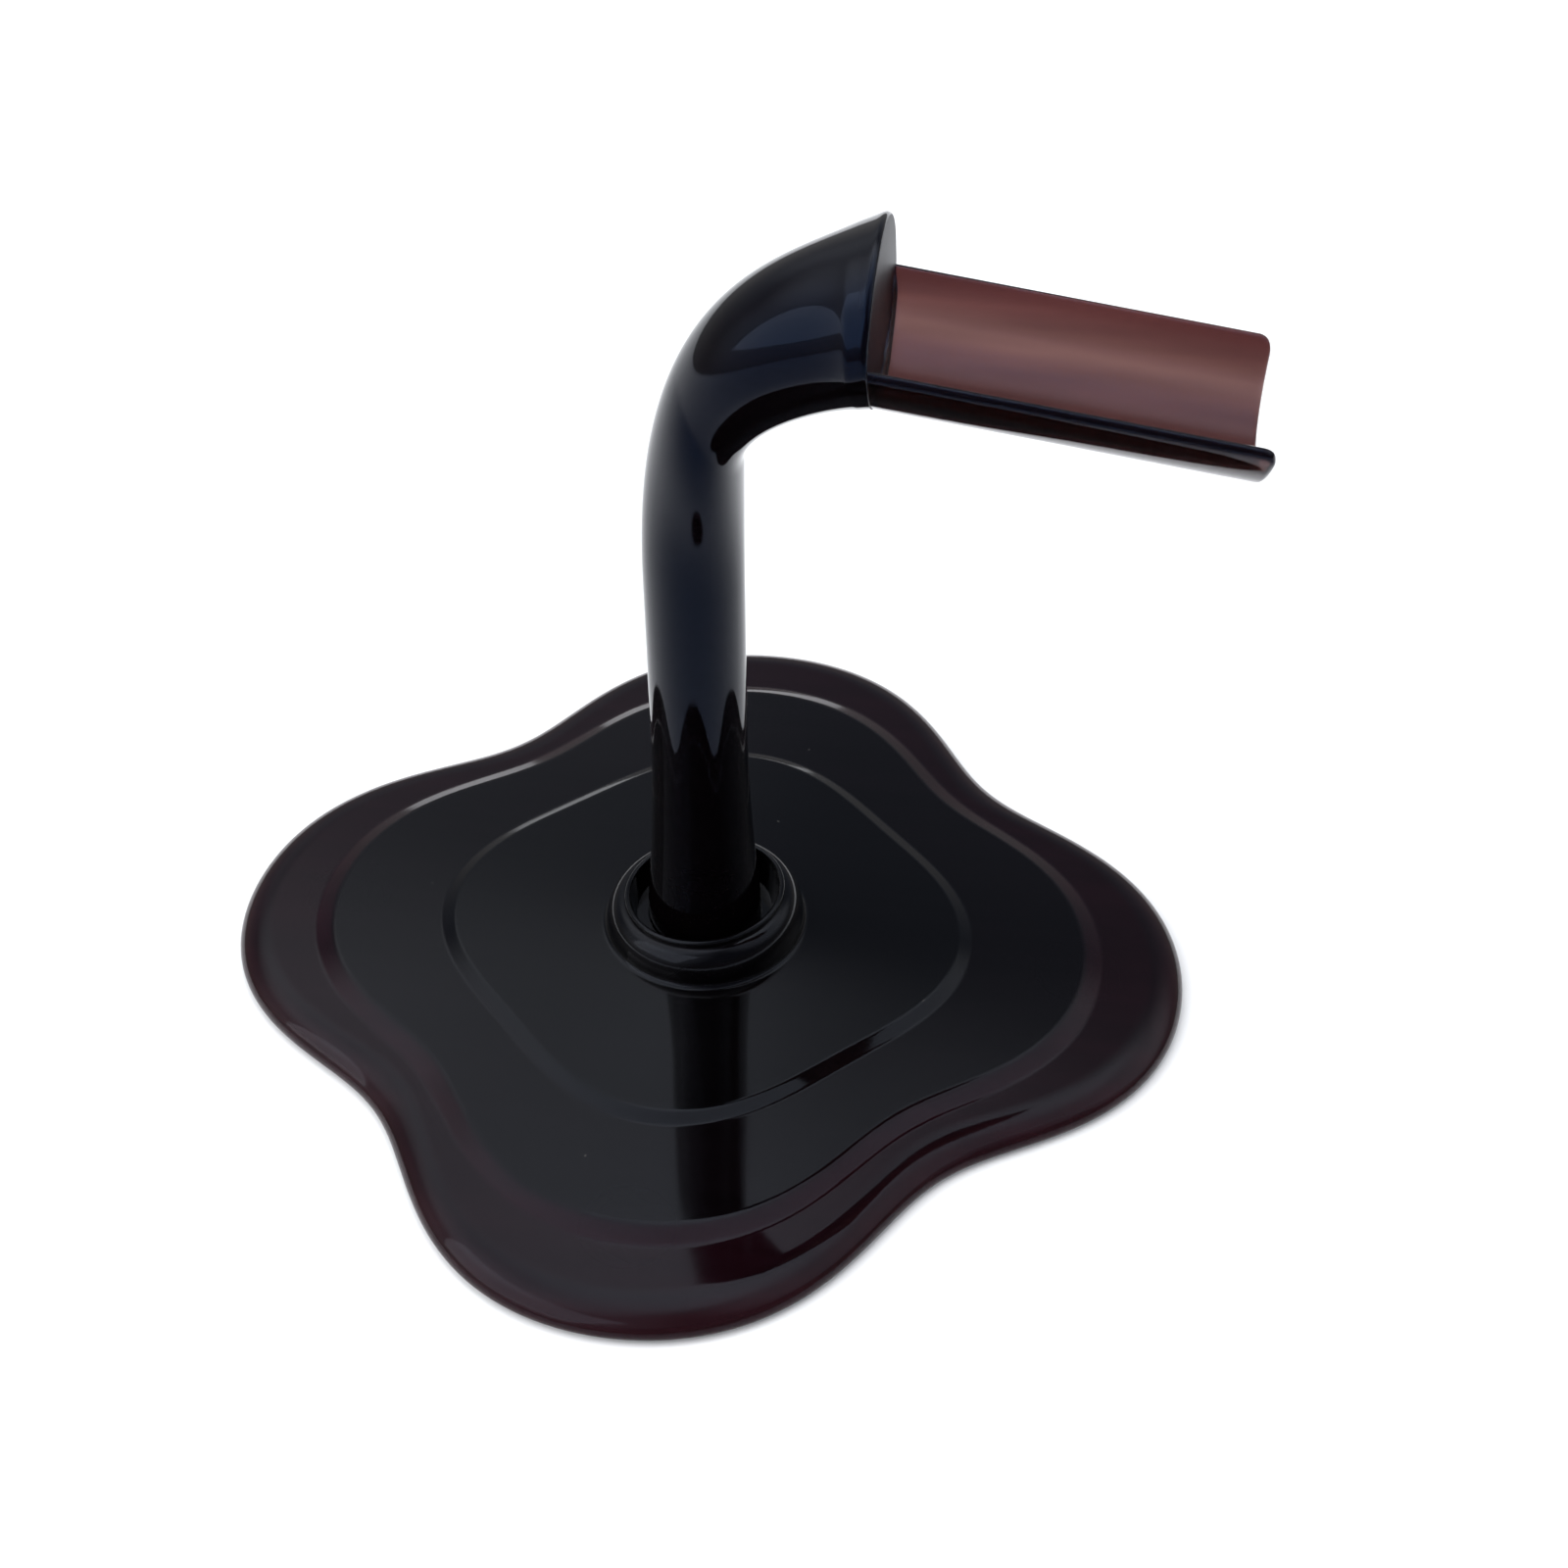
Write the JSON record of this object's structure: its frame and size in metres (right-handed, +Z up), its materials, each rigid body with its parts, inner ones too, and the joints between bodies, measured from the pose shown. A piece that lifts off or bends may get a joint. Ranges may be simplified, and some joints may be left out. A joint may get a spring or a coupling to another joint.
{
  "type": "razor stand",
  "caption": "Razor stand: a low lobed base with terraced steps carries a bent post that widens into a horn and ends in an open half-pipe cradle sloping down towards its free end.",
  "frame": {"origin": "centre of the base, on the surface that the feet stand on", "axes": "+Z up; +X over one lobe of the base, the way the cradle points; +Y to the left of it"},
  "size_m": [0.1, 0.1, 0.0832],
  "materials": {
    "ruby_plastic": "dark red transparent plastic, polished; black where thick, red in the thin cradle",
    "brass": "turned",
    "steel": "stainless steel, satin",
    "rubber": "matte"
  },
  "bodies": {
    "root": {"base_shell": "ruby_plastic", "arm": "ruby_plastic", "thread_insert": "brass", "fixing_screw": "steel", "washer": "steel", "foot_front": "rubber", "foot_back": "rubber", "foot_left": "rubber", "foot_right": "rubber"}
  },
  "joints": []
}
